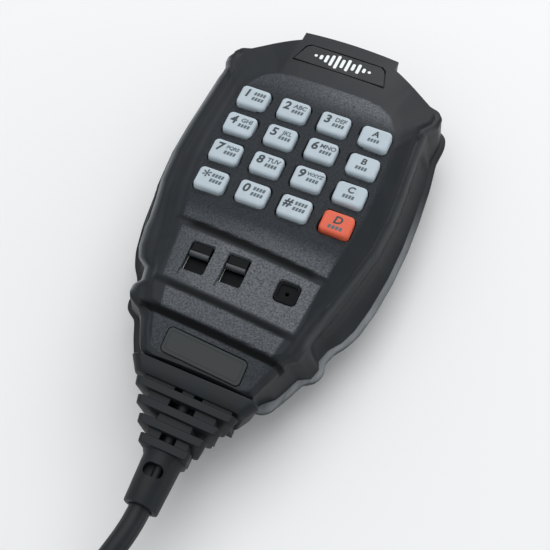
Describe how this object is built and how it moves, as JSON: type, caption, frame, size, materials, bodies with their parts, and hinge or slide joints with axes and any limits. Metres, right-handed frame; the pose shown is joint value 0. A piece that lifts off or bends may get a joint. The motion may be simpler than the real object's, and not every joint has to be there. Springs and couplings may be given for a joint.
{
  "type": "hand microphone",
  "caption": "Two-way-radio hand microphone with a keypad, slide switches, side talk bar, ribbed cord boot and a curly cord ending in a modular plug.",
  "frame": {"origin": "middle of the footprint of the microphone and its cord boot, on the surface it lies on", "axes": "+Z out of the keypad face, +Y along the body towards the top edge, +X to the right seen from the front"},
  "size_m": [0.0672, 0.3156, 0.0291],
  "materials": {
    "body_plastic": "moulded black plastic, fine grain and satin borders",
    "key_grey": "translucent pale grey silicone",
    "key_orange": "orange silicone",
    "black_rubber": "soft black rubber",
    "cord_jacket": "smooth black jacket",
    "badge_grey": "dark grey plate",
    "black_gloss": "glossy black",
    "white_inner": "off-white",
    "board_green": "green solder mask",
    "bright_steel": "nickel-plated steel",
    "dark_steel": "black oxide steel",
    "plug_clear": "clear polycarbonate"
  },
  "bodies": {
    "housing": {"front_shell": "body_plastic", "rear_shell": "body_plastic", "top_badge": "badge_grey", "chin_badge": "badge_grey", "keypad_mat": "white_inner", "main_board": "board_green", "slide_switch_left": "bright_steel", "slide_switch_right": "bright_steel", "mic_boot": "black_rubber", "mic_capsule": "bright_steel", "ptt_pin": "bright_steel", "ptt_switch": "black_gloss", "up_switch": "black_gloss", "down_switch": "black_gloss", "cord_boot": "black_rubber", "cord_clamp": "black_gloss", "wire_bundle": "cord_jacket", "wire_connector": "white_inner", "hanger_button": "bright_steel", "hanger_screw": "dark_steel", "case_screw_1": "dark_steel", "case_screw_2": "dark_steel", "case_screw_3": "dark_steel", "case_screw_4": "dark_steel", "board_screw_1": "dark_steel", "board_screw_2": "dark_steel", "cord_lead": "cord_jacket", "cord_curl": "cord_jacket", "cord_tail": "cord_jacket", "plug_boot": "cord_jacket", "plug_body": "plug_clear"},
    "key_1": {"key_1": "key_grey"},
    "key_2": {"key_2": "key_grey"},
    "key_3": {"key_3": "key_grey"},
    "key_a": {"key_a": "key_grey"},
    "key_4": {"key_4": "key_grey"},
    "key_5": {"key_5": "key_grey"},
    "key_6": {"key_6": "key_grey"},
    "key_b": {"key_b": "key_grey"},
    "key_7": {"key_7": "key_grey"},
    "key_8": {"key_8": "key_grey"},
    "key_9": {"key_9": "key_grey"},
    "key_c": {"key_c": "key_grey"},
    "key_star": {"key_star": "key_grey"},
    "key_0": {"key_0": "key_grey"},
    "key_hash": {"key_hash": "key_grey"},
    "key_func": {"key_func": "key_orange"},
    "up_button": {"up_button": "black_rubber"},
    "down_button": {"down_button": "black_rubber"},
    "slide_knob_left": {"slide_knob_left": "black_gloss"},
    "slide_knob_right": {"slide_knob_right": "black_gloss"},
    "ptt_bar": {"ptt_bar": "body_plastic"},
    "plug_latch": {"plug_latch": "plug_clear"}
  },
  "joints": [
    {"name": "key_1_press", "type": "slide", "parent": "housing", "child": "key_1", "axis": [0, 0, -1], "range_m": [0, 0.0009], "stiffness_N_per_m": 300},
    {"name": "key_2_press", "type": "slide", "parent": "housing", "child": "key_2", "axis": [0, 0, -1], "range_m": [0, 0.0009], "stiffness_N_per_m": 300},
    {"name": "key_3_press", "type": "slide", "parent": "housing", "child": "key_3", "axis": [0, 0, -1], "range_m": [0, 0.0009], "stiffness_N_per_m": 300},
    {"name": "key_a_press", "type": "slide", "parent": "housing", "child": "key_a", "axis": [0, 0, -1], "range_m": [0, 0.0009], "stiffness_N_per_m": 300},
    {"name": "key_4_press", "type": "slide", "parent": "housing", "child": "key_4", "axis": [0, 0, -1], "range_m": [0, 0.0009], "stiffness_N_per_m": 300},
    {"name": "key_5_press", "type": "slide", "parent": "housing", "child": "key_5", "axis": [0, 0, -1], "range_m": [0, 0.0009], "stiffness_N_per_m": 300},
    {"name": "key_6_press", "type": "slide", "parent": "housing", "child": "key_6", "axis": [0, 0, -1], "range_m": [0, 0.0009], "stiffness_N_per_m": 300},
    {"name": "key_b_press", "type": "slide", "parent": "housing", "child": "key_b", "axis": [0, 0, -1], "range_m": [0, 0.0009], "stiffness_N_per_m": 300},
    {"name": "key_7_press", "type": "slide", "parent": "housing", "child": "key_7", "axis": [0, 0, -1], "range_m": [0, 0.0009], "stiffness_N_per_m": 300},
    {"name": "key_8_press", "type": "slide", "parent": "housing", "child": "key_8", "axis": [0, 0, -1], "range_m": [0, 0.0009], "stiffness_N_per_m": 300},
    {"name": "key_9_press", "type": "slide", "parent": "housing", "child": "key_9", "axis": [0, 0, -1], "range_m": [0, 0.0009], "stiffness_N_per_m": 300},
    {"name": "key_c_press", "type": "slide", "parent": "housing", "child": "key_c", "axis": [0, 0, -1], "range_m": [0, 0.0009], "stiffness_N_per_m": 300},
    {"name": "key_star_press", "type": "slide", "parent": "housing", "child": "key_star", "axis": [0, 0, -1], "range_m": [0, 0.0009], "stiffness_N_per_m": 300},
    {"name": "key_0_press", "type": "slide", "parent": "housing", "child": "key_0", "axis": [0, 0, -1], "range_m": [0, 0.0009], "stiffness_N_per_m": 300},
    {"name": "key_hash_press", "type": "slide", "parent": "housing", "child": "key_hash", "axis": [0, 0, -1], "range_m": [0, 0.0009], "stiffness_N_per_m": 300},
    {"name": "key_func_press", "type": "slide", "parent": "housing", "child": "key_func", "axis": [0, 0, -1], "range_m": [0, 0.0009], "stiffness_N_per_m": 300},
    {"name": "up_button_press", "type": "slide", "parent": "housing", "child": "up_button", "axis": [0, -1, 0], "range_m": [0, 0.0007], "stiffness_N_per_m": 300},
    {"name": "down_button_press", "type": "slide", "parent": "housing", "child": "down_button", "axis": [0, -1, 0], "range_m": [0, 0.0007], "stiffness_N_per_m": 300},
    {"name": "slide_knob_left_slide", "type": "slide", "parent": "housing", "child": "slide_knob_left", "axis": [0, -1, 0], "range_m": [0, 0.004]},
    {"name": "slide_knob_right_slide", "type": "slide", "parent": "housing", "child": "slide_knob_right", "axis": [0, -1, 0], "range_m": [0, 0.004]},
    {"name": "ptt_press", "type": "hinge", "parent": "housing", "child": "ptt_bar", "pos_m": [-0.0252, 0.04485, 0.0175], "axis": [0, 0, 1], "range_deg": [0, 2], "stiffness_Nm_per_rad": 2},
    {"name": "plug_latch_flex", "type": "hinge", "parent": "housing", "child": "plug_latch", "pos_m": [0.0166, -0.0799, 0.00735], "axis": [1, 0, 0], "range_deg": [0, 6], "stiffness_Nm_per_rad": 0.2}
  ]
}
